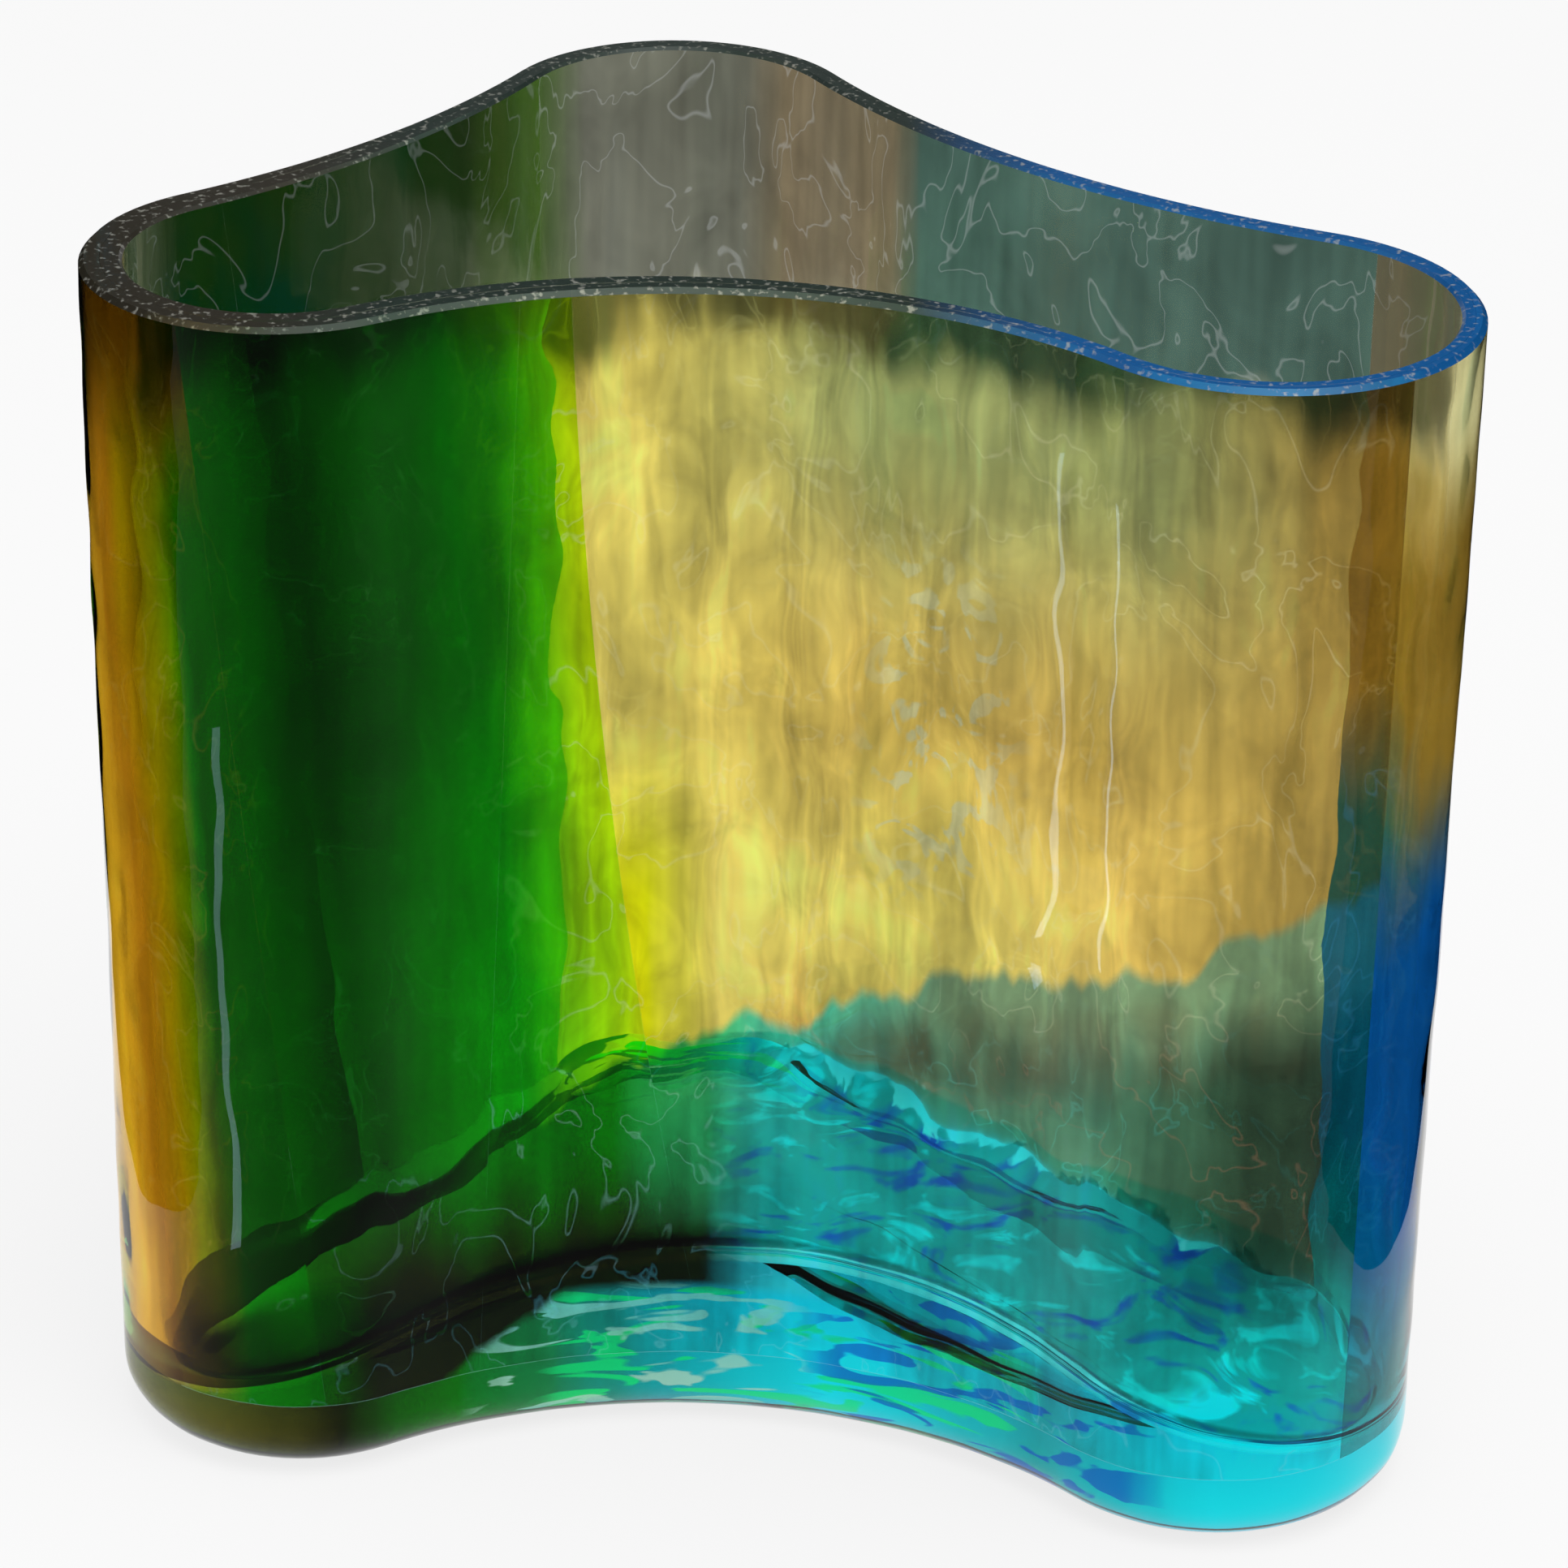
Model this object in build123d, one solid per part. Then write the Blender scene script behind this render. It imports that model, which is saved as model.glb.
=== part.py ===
from build123d import *

import os
from math import atan2, degrees, hypot, sqrt

# Hand blown art glass vase: three lobes in plan, straight walls, a ground rim and a heavy base.
#
# The vessel is one hot assembly of glass. An aqua bubble, the inner gather, holds the contents. A base
# gather cups its bottom, and a ring of coloured overlays, laid edge to edge, cases its wall from the
# base gather up to the rim. Every piece meets its neighbours face to face.
#
# Millimetres, +Z up, front towards -Y. The origin is the middle of the box round the underside.

# --- Overall size ---
width = 210.0
depth = 145.2
height = 200.0

# --- Plan: a rounded lobe at the left, the right and the back, joined by three hollows ---
left_lobe_radius = 30.0
right_lobe_radius = 32.7
back_lobe_radius = 29.4
left_lobe_setback = 14.0       # left lobe's centre behind the right lobe's
back_lobe_offset = -16.8       # back lobe's centre from the middle, along X
front_hollow_radius = 86.6
back_right_hollow_radius = 155.0
back_left_hollow_radius = 157.5

# --- Wall: full thickness at the nose of each lobe, and the overlay's share of it ---
left_wall, right_wall, back_wall = 6.6, 3.8, 4.3
left_overlay, right_overlay, back_overlay = 3.2, 1.8, 2.0

# --- Bottom ---
heel_radius = 9.0              # rounded outer edge of the underside
foot_height = 14.0             # where the overlays start, above the underside
underside_thickness = 3.4      # base gather under the inner gather
seam_heel_radius = 7.0         # rounded bottom edge of the inner gather
floor_crown_height = 27.5      # highest point of the domed floor, above the underside
floor_crown_x, floor_crown_y = 8.0, -25.0
floor_dome_radius = 260.0
floor_corner_radius = 8.0      # rounded corner between floor and wall

# --- Rim: ground flat, with a bevel along each edge ---
outer_bevel = 0.8
inner_bevel = 0.5

# --- Where one overlay stops and the next starts on the elevation: (X at the foot, X at the rim) ---
amber_edge = (5.5, -13.0)      # from the left lobe's centre
blue_edge = (19.7, 19.7)       # from the right lobe's centre
green_edge = (-28.7, -21.2)    # these three from the back lobe's centre
lime_edge = (7.8, -13.7)
smoke_edge = (-25.2, -25.2)
lime_edge_bow = 4.0            # the lime edge bows out to the left of a straight line
teal_top_middle = 84.0         # height of the teal overlay's top at X = 0
teal_top_slope = 0.3           # and its rise towards the right


def lobe_centres():
    """Centres of the left, right and back lobes, from the box that they fill."""
    right_y = right_lobe_radius - depth / 2
    return (
        (left_lobe_radius - width / 2, right_y + left_lobe_setback),
        (width / 2 - right_lobe_radius, right_y),
        (back_lobe_offset, depth / 2 - back_lobe_radius),
    )


def hollow_centre(first, first_radius, second, second_radius, hollow_radius):
    """Centre of the arc that touches both lobes, on the outer side of the line from first to second."""
    dx, dy = second[0] - first[0], second[1] - first[1]
    span = hypot(dx, dy)
    to_first, to_second = first_radius + hollow_radius, second_radius + hollow_radius
    along = (to_first**2 - to_second**2 + span**2) / (2 * span)
    out = sqrt(to_first**2 - along**2)
    return (first[0] + (dx * along + dy * out) / span, first[1] + (dy * along - dx * out) / span)


def heading(start, end):
    """Direction from one point to another, in degrees anticlockwise from +X."""
    return degrees(atan2(end[1] - start[1], end[0] - start[0]))


def plan_outline(left_inset=0.0, right_inset=0.0, back_inset=0.0):
    """Face inside the six tangent arcs, brought in from the outside of the vase by an inset at each lobe."""
    insets = (left_inset, right_inset, back_inset)
    lobe_radii = (left_lobe_radius, right_lobe_radius, back_lobe_radius)
    hollow_radii = (front_hollow_radius, back_right_hollow_radius, back_left_hollow_radius)
    lobes = [(centre, r - inset) for centre, r, inset in zip(lobe_centres(), lobe_radii, insets)]
    hollows = []
    for i, hollow_radius in enumerate(hollow_radii):
        inset_radius = hollow_radius + (insets[i] + insets[(i + 1) % 3]) / 2
        hollows.append((hollow_centre(*lobes[i], *lobes[(i + 1) % 3], inset_radius), inset_radius))

    edges = []
    for i, (lobe, lobe_radius) in enumerate(lobes):
        before, (after, after_radius) = hollows[i - 1][0], hollows[i]
        start = heading(lobe, before)
        edges.append(CenterArc(lobe, lobe_radius, start, (heading(lobe, after) - start) % 360))
        start = heading(after, lobe)
        following = lobes[(i + 1) % 3][0]
        edges.append(CenterArc(after, after_radius, start, -((start - heading(after, following)) % 360)))
    return Face(Wire(edges))


def upright(outline, bottom, top):
    """Solid with this outline from one height to another."""
    return extrude(Pos(0, 0, bottom) * outline, top - bottom, dir=(0, 0, 1))


def bottom_edges(solid):
    """Edges round the solid's lowest face."""
    return solid.faces().sort_by(Axis.Z)[0].edges()


def make_blank():
    """The vessel filled in: the outer outline with its heel and the bevel round its rim."""
    blank = upright(plan_outline(), 0, height)
    blank = chamfer(blank.faces().sort_by(Axis.Z)[-1].edges(), outer_bevel)
    return fillet(bottom_edges(blank), heel_radius)


def make_seam():
    """What the overlays and the base gather are wrapped round: the inner gather filled in."""
    outline = plan_outline(left_overlay, right_overlay, back_overlay)
    return fillet(bottom_edges(upright(outline, underside_thickness, height)), seam_heel_radius)


def make_cavity():
    """The hollow: straight walls, a domed floor and a rounded corner between them."""
    dome = Pos(floor_crown_x, floor_crown_y, floor_crown_height - floor_dome_radius) * Sphere(floor_dome_radius)
    cavity = upright(plan_outline(left_wall, right_wall, back_wall), 0, height) - dome
    return fillet(bottom_edges(cavity), floor_corner_radius)


def make_inner_gather(seam, cavity):
    """Aqua bubble with the floor of the vase, bevelled round the inside of the rim."""
    gather = seam - cavity
    mouth = gather.faces().sort_by(Axis.Z)[-1].inner_wires()[0]
    return chamfer(mouth.edges(), inner_bevel)


def make_base_gather(blank, seam):
    """Thick cup of glass under and round the bottom of the inner gather."""
    return split(blank - seam, bisect_by=Plane.XY.offset(foot_height), keep=Keep.BOTTOM)


def elevation_cut(edge, lobe, bow=0.0):
    """Block to the left of an overlay's edge, placed from a lobe's centre, through the whole depth."""
    foot_x, rim_x = (lobe[0] + offset for offset in edge)
    foot_point, rim_point = (foot_x, foot_height), (rim_x, height)
    if bow:
        middle = ((foot_x + rim_x) / 2 - bow, (foot_height + height) / 2)
        side = ThreePointArc(foot_point, middle, rim_point)
    else:
        side = Line(foot_point, rim_point)
    rest = Polyline(rim_point, (-width, height), (-width, foot_height), foot_point)
    return extrude(Plane.XZ * Face(Wire([side, *rest.edges()])), depth, both=True)


def make_overlays(blank, seam):
    """Ring of coloured glass between the seam and the outside, parted into its fields of colour."""
    left_lobe, right_lobe, back_lobe = lobe_centres()
    ring = split(blank - seam, bisect_by=Plane.XY.offset(foot_height), keep=Keep.TOP)
    amber_side = elevation_cut(amber_edge, left_lobe)
    blue_side = elevation_cut(blue_edge, right_lobe)
    middle = (ring - amber_side) & blue_side
    front, back = middle.solids().sort_by(Axis.Y)

    green_side = elevation_cut(green_edge, back_lobe)
    lime_side = elevation_cut(lime_edge, back_lobe, lime_edge_bow)
    smoke_side = elevation_cut(smoke_edge, back_lobe)
    teal_top = Plane(
        origin=(0, 0, teal_top_middle), x_dir=(1, 0, teal_top_slope), z_dir=(-teal_top_slope, 0, 1)
    )
    right_front = front - lime_side
    return {
        "amber_overlay": ring & amber_side,
        "green_overlay_front": front & green_side,
        "lime_overlay": (front & lime_side) - green_side,
        "gold_overlay": split(right_front, bisect_by=teal_top, keep=Keep.TOP),
        "teal_overlay": split(right_front, bisect_by=teal_top, keep=Keep.BOTTOM),
        "blue_overlay": ring - blue_side,
        "smoke_overlay": back - smoke_side,
        "green_overlay_back": back & smoke_side,
    }


def main():
    """Make every piece and write each one to its own file."""
    blank, seam, cavity = make_blank(), make_seam(), make_cavity()
    pieces = {
        "inner_gather": make_inner_gather(seam, cavity),
        "base_gather": make_base_gather(blank, seam),
        **make_overlays(blank, seam),
    }
    os.makedirs("parts", exist_ok=True)
    for name, piece in pieces.items():
        export_step(Compound(piece.solids()), f"parts/{name}.step")


if __name__ == "__main__":
    main()
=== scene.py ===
"""Hand blown art glass vase: an aqua gather in a thick base, cased with overlays from amber to blue."""

from math import atan2, ceil, cos, hypot, pi, radians, sin, sqrt

import bmesh
import bpy
from mathutils import Matrix, Vector, noise


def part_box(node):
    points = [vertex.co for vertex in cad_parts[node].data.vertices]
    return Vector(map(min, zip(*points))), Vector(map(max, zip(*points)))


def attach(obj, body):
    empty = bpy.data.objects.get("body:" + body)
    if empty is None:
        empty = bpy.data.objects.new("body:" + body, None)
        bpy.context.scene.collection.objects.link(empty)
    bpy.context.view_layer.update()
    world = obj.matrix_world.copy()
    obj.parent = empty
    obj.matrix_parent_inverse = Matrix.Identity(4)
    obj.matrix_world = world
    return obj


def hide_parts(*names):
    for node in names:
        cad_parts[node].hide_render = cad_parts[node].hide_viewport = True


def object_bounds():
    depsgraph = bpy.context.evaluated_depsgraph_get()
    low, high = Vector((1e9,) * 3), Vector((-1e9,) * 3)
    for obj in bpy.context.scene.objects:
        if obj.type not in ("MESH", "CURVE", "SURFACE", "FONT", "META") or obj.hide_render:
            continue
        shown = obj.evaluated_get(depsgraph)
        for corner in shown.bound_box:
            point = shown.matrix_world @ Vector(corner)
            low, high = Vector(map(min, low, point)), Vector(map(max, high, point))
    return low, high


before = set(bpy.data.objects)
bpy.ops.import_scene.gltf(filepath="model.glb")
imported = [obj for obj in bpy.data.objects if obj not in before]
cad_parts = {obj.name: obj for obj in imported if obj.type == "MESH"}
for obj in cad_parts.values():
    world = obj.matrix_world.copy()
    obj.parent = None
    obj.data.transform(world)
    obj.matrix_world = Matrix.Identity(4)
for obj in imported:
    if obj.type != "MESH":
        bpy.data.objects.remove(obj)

bl_info = {
    "name": "Lobed Art Glass Vase",
    "version": (1, 0, 0),
    "blender": (4, 5, 0),
    "location": "View3D > Sidebar > Vase",
    "description": "Blows a three-lobed vase of cased glass around its packed frame",
    "category": "Add Mesh",
}

MM = 0.001
LOW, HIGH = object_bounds()                # the box that the CAD model fills
WIDTH, DEPTH, HEIGHT = HIGH - LOW
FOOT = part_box("base_gather")[1].z      # the overlays stand on the base gather
SEAM, SKIN, GROUND, JOINT = 0, 1, 2, 3  # how a face was finished, and its material slot on an overlay
GLASS_IOR = 1.5                        # soda-lime glass
SEAM_GAP = 0.02 * MM                   # keeps the overlays off the gathers that they are fused to
JOINT_GAP = 0.002 * MM                 # keeps one overlay off the next, too narrow to show as a line
FLOOR_CROWN = (8.0 * MM, -25.0 * MM)   # where the floor inside is highest
FLOOR_MIDDLE = (-5.0 * MM, 5.0 * MM)   # where the rings of the floor's mesh close
APART = Vector((0.0, 0.0, 50.0 * MM))  # holds two loops apart while faces are made between them
CREASE = radians(40)                   # edges that bend more than this aren't shaded smooth


def linear(hex_colour):
    """Linear RGBA of an sRGB hex colour."""
    parts = [int(hex_colour[i:i + 2], 16) / 255 for i in (1, 3, 5)]
    return (*((p / 12.92 if p <= 0.04045 else ((p + 0.055) / 1.055) ** 2.4) for p in parts), 1.0)


def length(name, description, default):
    """A size in metres that shows in the scene's own units."""
    return bpy.props.FloatProperty(
        name=name, description=description, default=default, min=0.0, subtype="DISTANCE", unit="LENGTH"
    )


def tint(name, description, default):
    """A colour that glass lets through, shown as the eye sees it."""
    return bpy.props.FloatVectorProperty(
        name=name, description=description, default=linear(default), size=4, min=0.0, max=1.0, subtype="COLOR"
    )


class VaseSizes(bpy.types.PropertyGroup):
    """Sizes of the vase that its box doesn't give."""

    left_lobe: length("Left lobe", "Radius of the left lobe", 30.0 * MM)
    right_lobe: length("Right lobe", "Radius of the right lobe", 32.7 * MM)
    back_lobe: length("Back lobe", "Radius of the back lobe", 29.4 * MM)
    left_setback: length("Left setback", "How far the left lobe stands behind the right one", 14.0 * MM)
    back_offset: length("Back offset", "How far the back lobe stands left of the middle", 16.8 * MM)
    front_hollow: length("Front hollow", "Radius of the hollow between the left and right lobes", 86.6 * MM)
    right_hollow: length("Right hollow", "Radius of the hollow behind the right lobe", 155.0 * MM)
    left_hollow: length("Left hollow", "Radius of the hollow behind the left lobe", 157.5 * MM)
    left_wall: length("Left wall", "Wall at the left lobe", 6.6 * MM)
    right_wall: length("Right wall", "Wall at the right lobe", 3.8 * MM)
    back_wall: length("Back wall", "Wall at the back lobe", 4.3 * MM)
    left_overlay: length("Left overlay", "Overlay at the left lobe", 3.2 * MM)
    right_overlay: length("Right overlay", "Overlay at the right lobe", 1.8 * MM)
    back_overlay: length("Back overlay", "Overlay at the back lobe", 2.0 * MM)
    heel: length("Heel", "Rounded edge of the underside", 9.0 * MM)
    seam_heel: length("Seam heel", "Rounded bottom edge of the inner gather", 7.0 * MM)
    underside: length("Underside", "Base gather under the inner gather", 3.4 * MM)
    floor_crown: length("Floor crown", "Highest point of the domed floor", 27.5 * MM)
    floor_dome: length("Floor dome", "Radius of the domed floor", 260.0 * MM)
    floor_corner: length("Floor corner", "Rounded corner between floor and wall", 8.0 * MM)
    outer_bevel: length("Outer bevel", "Bevel round the outside of the rim", 0.8 * MM)
    inner_bevel: length("Inner bevel", "Bevel round the mouth", 0.5 * MM)
    ripple: length("Ripple", "How deep the blown surface ripples", 0.28 * MM)
    grid: length("Grid", "Spacing of the mesh over the walls", 2.4 * MM)


class VaseColours(bpy.types.PropertyGroup):
    """What each colour field lets through, once through its overlay."""

    amber: tint("Amber", "Left edge", "#ffd464")
    umber: tint("Umber", "Left edge near the rim", "#8a6a20")
    sienna: tint("Sienna", "Between amber and olive", "#b48434")
    olive: tint("Olive", "Between amber and green", "#a0920c")
    green: tint("Green", "Left part of the front", "#109408")
    deep_green: tint("Deep green", "Darkest part of the front", "#045c04")
    leaf: tint("Leaf", "Between deep green and lime", "#10b008")
    lime: tint("Lime", "Between green and gold", "#84d806")
    yellow: tint("Yellow", "Foot of the lime", "#e8e808")
    # Honey, gold, bronze and moss are painted light: sunlit wood seen through the glass.
    honey: tint("Honey", "Lower and left parts of the gold", "#fde684")
    gold: tint("Gold", "Middle of the gold", "#f0cc76")
    bronze: tint("Bronze", "Right part of the gold", "#a68c50")
    moss: tint("Moss", "Top of the gold", "#a8b080")
    # Painted reflection: pale wisps of sky mirrored in the gold.
    sky_reflection: tint("Mist", "Wisps in the gold", "#d4dcd8")
    # Painted shadow: the vase's own shadow seen through the glass, just below the gold.
    painted_shadow: tint("Reef", "Just below the gold", "#84a48c")
    shoal: tint("Shoal", "Foot of the front, left of the middle", "#48c070")
    sea: tint("Sea", "Foot of the front, right of the middle", "#68f4e6")
    petrol: tint("Petrol", "Foot of the front, far right", "#3a8478")
    bottle: tint("Bottle", "Foot of the left half", "#088008")
    # Painted shade: darkest on the left of the foot, the heel and the floor's corner.
    painted_shade: tint("Soot", "Darkest part of the foot, on the left", "#241e04")
    blue: tint("Blue", "Foot of the right edge", "#3c8cbc")
    # Painted light: sunlit wood seen through the right edge.
    fawn: tint("Fawn", "Right edge", "#c4aa68")
    night_green: tint("Night green", "Top of the back, behind the left lobe", "#042a04")
    back_green: tint("Back green", "Back of the left lobe", "#107c10")
    pale_green: tint("Pale green", "Foot of the back of the left lobe", "#20c020")
    fern: tint("Fern", "Upper part of the back, left of the lobe", "#3c5c14")
    # Straw and rust are painted light, sunlit wood, and mauve, brown, tan and slate painted shade, both seen
    # through the glass.
    straw: tint("Straw", "Lower part of the back", "#eee4c0")
    mauve: tint("Mauve", "Upper part of the back lobe", "#706f62")
    brown: tint("Brown", "Upper part of the back, right of the lobe", "#7e6e56")
    tan: tint("Tan", "Upper part of the back of the right lobe", "#625c48")
    slate: tint("Slate", "Upper part of the back, behind the right lobe", "#4a645a")
    rust: tint("Rust", "Foot of the back, right of the middle", "#c88468")
    rim_smoke: tint("Rim smoke", "Rim on the left", "#3a362c")
    rim_teal: tint("Rim teal", "Rim in the middle", "#2a3a34")
    rim_blue: tint("Rim blue", "Rim on the right", "#0868b4")
    # Painted glints: the pale colour of the pits stands in for the light that they catch.
    rim_pit_glint: tint("Rim pit", "Pits in the ground rim", "#d8d8cc")
    aqua: tint("Aqua", "Colour that a thick layer of the gathers takes", "#30e0f0")
    lagoon: tint("Lagoon", "Floor and heel on the right", "#20b8b4")
    cyan: tint("Cyan", "Brightest glass of the base", "#20fcff")
    reed: tint("Reed", "Base, left of the middle", "#2c9050")
    navy: tint("Navy", "Streaks in the floor and the base", "#0c5ccc")
    # Spring and cream are painted glints in the base.
    spring: tint("Spring", "Green glints in the base", "#20ff80")
    cream: tint("Cream", "Pale glints in the base", "#f0f4d0")
    # Painted caustic: a bright line of focused light where the floor meets the back wall.
    painted_caustic: tint("Spray", "Bright line where the floor meets the back wall", "#b0ffff")


# --- Plan ---------------------------------------------------------------------------------------


def wall_insets(sizes):
    """How far the inside of the wall lies in from the outside, at each lobe."""
    return [sizes.left_wall, sizes.right_wall, sizes.back_wall]


def seam_insets(sizes, gap=0.0):
    """How far the seam under the overlays lies in from the outside, at each lobe."""
    return [sizes.left_overlay + gap, sizes.right_overlay + gap, sizes.back_overlay + gap]


def hollow_centre(first, second, hollow_radius):
    """Centre of the arc that touches two lobes, each a centre and a radius, from the outer side."""
    (start, start_radius), (end, end_radius) = first, second
    step = end - start
    span = step.length
    to_start, to_end = start_radius + hollow_radius, end_radius + hollow_radius
    along = (to_start ** 2 - to_end ** 2 + span ** 2) / (2 * span)
    out = sqrt(to_start ** 2 - along ** 2)
    return start + (step * along + Vector((step.y, -step.x)) * out) / span


def plan(sizes, insets=(0.0, 0.0, 0.0)):
    """The three lobes and the three hollows after them, each a centre and a radius."""
    right_y = LOW.y + sizes.right_lobe
    lobes = [
        (Vector((LOW.x + sizes.left_lobe, right_y + sizes.left_setback)), sizes.left_lobe - insets[0]),
        (Vector((HIGH.x - sizes.right_lobe, right_y)), sizes.right_lobe - insets[1]),
        (Vector((-sizes.back_offset, HIGH.y - sizes.back_lobe)), sizes.back_lobe - insets[2]),
    ]
    hollows = []
    for i, radius in enumerate((sizes.front_hollow, sizes.right_hollow, sizes.left_hollow)):
        j = (i + 1) % 3
        radius += (insets[i] + insets[j]) / 2
        hollows.append((hollow_centre(lobes[i], lobes[j], radius), radius))
    return lobes, hollows


def heading(start, end):
    """Direction from one point of the plan to another, in radians anticlockwise from +X."""
    return atan2(end.y - start.y, end.x - start.x)


def arcs(sizes, insets=(0.0, 0.0, 0.0)):
    """The outline as six arcs, each a centre, a radius, a first heading and a turn."""
    lobes, hollows = plan(sizes, insets)
    made = []
    for i, (lobe, lobe_radius) in enumerate(lobes):
        after, after_radius = hollows[i]
        start = heading(lobe, hollows[i - 1][0])
        made.append((lobe, lobe_radius, start, (heading(lobe, after) - start) % (2 * pi)))
        start = heading(after, lobe)
        following = lobes[(i + 1) % 3][0]
        made.append((after, after_radius, start, -((start - heading(after, following)) % (2 * pi))))
    return made


def draw_outline(bm, sizes, insets, z):
    """Spins a vertex through the six arcs, and returns the closed loop of edges that it leaves."""
    before = set(bm.edges)
    drawn = arcs(sizes, insets)
    centre, radius, start, _ = drawn[0]
    first = bm.verts.new((centre.x + radius * cos(start), centre.y + radius * sin(start), z))
    last = first
    for (centre, _, _, turn), (_, outer_radius, _, outer_turn) in zip(drawn, arcs(sizes)):
        steps = ceil(abs(outer_turn) * outer_radius / sizes.grid)
        spun = bmesh.ops.spin(
            bm, geom=[last], cent=(centre.x, centre.y, z), axis=(0, 0, 1), angle=turn, steps=steps
        )
        last = next(item for item in spun["geom_last"] if isinstance(item, bmesh.types.BMVert))
    bmesh.ops.pointmerge(bm, verts=[first, last], merge_co=first.co)
    return [edge for edge in bm.edges if edge not in before]


# --- Walls --------------------------------------------------------------------------------------


def begin():
    """An empty bmesh. Its layers hold how each face was finished, and how far in on the floor a vertex is."""
    bm = bmesh.new()
    bm.faces.layers.float.new("finish")
    bm.verts.layers.float.new("floor")
    return bm


def finish_layer(bm):
    """The layer that holds how each face was finished."""
    return bm.faces.layers.float["finish"]


def mark(bm, items, finish):
    """Notes how these faces were finished."""
    layer = finish_layer(bm)
    for item in items:
        if isinstance(item, bmesh.types.BMFace):
            item[layer] = finish


def join_loops(bm, first, second, finish):
    """Faces from one closed loop of edges to the next, held apart for that so that they can't twist."""
    verts = list({vert for edge in second for vert in edge.verts})
    bmesh.ops.translate(bm, verts=verts, vec=APART)
    made = bmesh.ops.bridge_loops(bm, edges=first + second)["faces"]
    bmesh.ops.translate(bm, verts=verts, vec=-APART)
    mark(bm, made, finish)
    return second


def extrude_loop(bm, loop, finish):
    """Extrudes a closed loop of edges. Returns the new loop and its vertices."""
    made = bmesh.ops.extrude_edge_only(bm, edges=loop)["geom"]
    mark(bm, made, finish)
    verts = {item for item in made if isinstance(item, bmesh.types.BMVert)}
    edges = {edge for vert in verts for edge in vert.link_edges if set(edge.verts) <= verts}
    return list(edges), list(verts)


def raise_wall(bm, sizes, loop, top, finish):
    """Extrudes a loop upwards to a height in even rows. Returns the last loop."""
    rows = max(1, ceil(abs(top - loop[0].verts[0].co.z) / sizes.grid))
    for row in range(rows):
        loop, verts = extrude_loop(bm, loop, finish)
        for vert in verts:
            vert.co.z += (top - vert.co.z) / (rows - row)
    return loop


def round_under(bm, sizes, loop, insets, radius, bottom, finish, flat_finish, steps=8):
    """Rounds a wall's bottom edge inwards from its lowest loop down to a flat bottom, and closes it."""
    for step in range(1, steps + 1):
        angle = step / steps * pi / 2
        inset = radius * (1 - cos(angle))
        row = draw_outline(bm, sizes, [i + inset for i in insets], bottom + radius * (1 - sin(angle)))
        loop = join_loops(bm, loop, row, finish)
    mark(bm, bmesh.ops.contextual_create(bm, geom=loop)["faces"], flat_finish)


def floor_height(sizes, place):
    """Height of the domed floor inside the vase."""
    reach = hypot(place.x - FLOOR_CROWN[0], place.y - FLOOR_CROWN[1])
    return LOW.z + sizes.floor_crown - sizes.floor_dome + sqrt(sizes.floor_dome ** 2 - reach ** 2)


def make_floor(bm, sizes, insets, steps=8, rings=16):
    """Rounds the inside of the wall into the domed floor, and closes the floor in rings round its middle.

    The floor layer is 0 on the wall, 0.5 where the rounded corner ends and 1 in the middle of the floor.
    """
    radius = sizes.floor_corner
    on_floor = bm.verts.layers.float["floor"]
    rows = []
    for step in range(steps + 1):
        angle = step / steps * pi / 2
        row = draw_outline(bm, sizes, [i + radius * (1 - cos(angle)) for i in insets], 0.0)
        for vert in {vert for edge in row for vert in edge.verts}:
            vert.co.z = floor_height(sizes, vert.co) + radius * (1 - sin(angle))
            vert[on_floor] = step / steps / 2
        if rows:
            join_loops(bm, rows[-1], row, SKIN)
        rows.append(row)
    middle = Vector((*FLOOR_MIDDLE, 0.0))
    middle.z = floor_height(sizes, middle)
    loop = rows[-1]
    for ring in range(rings - 1):
        loop, verts = extrude_loop(bm, loop, SKIN)
        for vert in verts:
            vert.co = vert.co.lerp(middle, 1 / (rings - ring))
            vert.co.z = floor_height(sizes, vert.co)
            vert[on_floor] = 0.5 + 0.5 * (ring + 1) / rings
    loop, verts = extrude_loop(bm, loop, SKIN)
    for vert in verts:
        vert[on_floor] = 1.0
    bmesh.ops.pointmerge(bm, verts=verts, merge_co=middle)
    return rows[0]


def smooth_step(value, low, high):
    """0 below low, 1 above high, and a smooth rise between them."""
    t = min(max((value - low) / (high - low), 0.0), 1.0)
    return t * t * (3 - 2 * t)


def wave(place, upright, size, shift):
    """Noise of about this size round a place. It is drawn out upright where upright is below 1."""
    return noise.noise(Vector((place.x, place.y, place.z * upright)) / size + shift)


def ripple_skin(bm, sizes, seed):
    """Ripples the fire-polished faces as blown glass does: slow sways, upright ribs and small dimples."""
    layer = finish_layer(bm)
    bmesh.ops.recalc_face_normals(bm, faces=bm.faces)
    bm.normal_update()
    shift = Vector((3.7, 1.3, 5.1)) * seed
    moves = []
    for vert in bm.verts:
        finishes = {face[layer] for face in vert.link_faces}
        if GROUND in finishes or SKIN not in finishes:
            continue
        place, away = vert.co, vert.normal.copy()
        if place.z > FOOT - 0.5 * MM and abs(away.z) < 0.9:
            away.z = 0.0
            away.normalize()
        sway = wave(place, 0.6, 55 * MM, shift)
        ribs = wave(place, 0.22, 9 * MM, shift)
        dimples = wave(place, 0.8, 8 * MM, -shift)
        fade = smooth_step(HIGH.z - place.z, 0.5 * MM, 7 * MM) * smooth_step(place.z, 0.5 * MM, 5 * MM)
        moves.append((vert, away * (1.1 * sway + 0.75 * ribs + 0.65 * dimples) * sizes.ripple * fade))
    for vert, move in moves:
        vert.co += move


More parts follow.
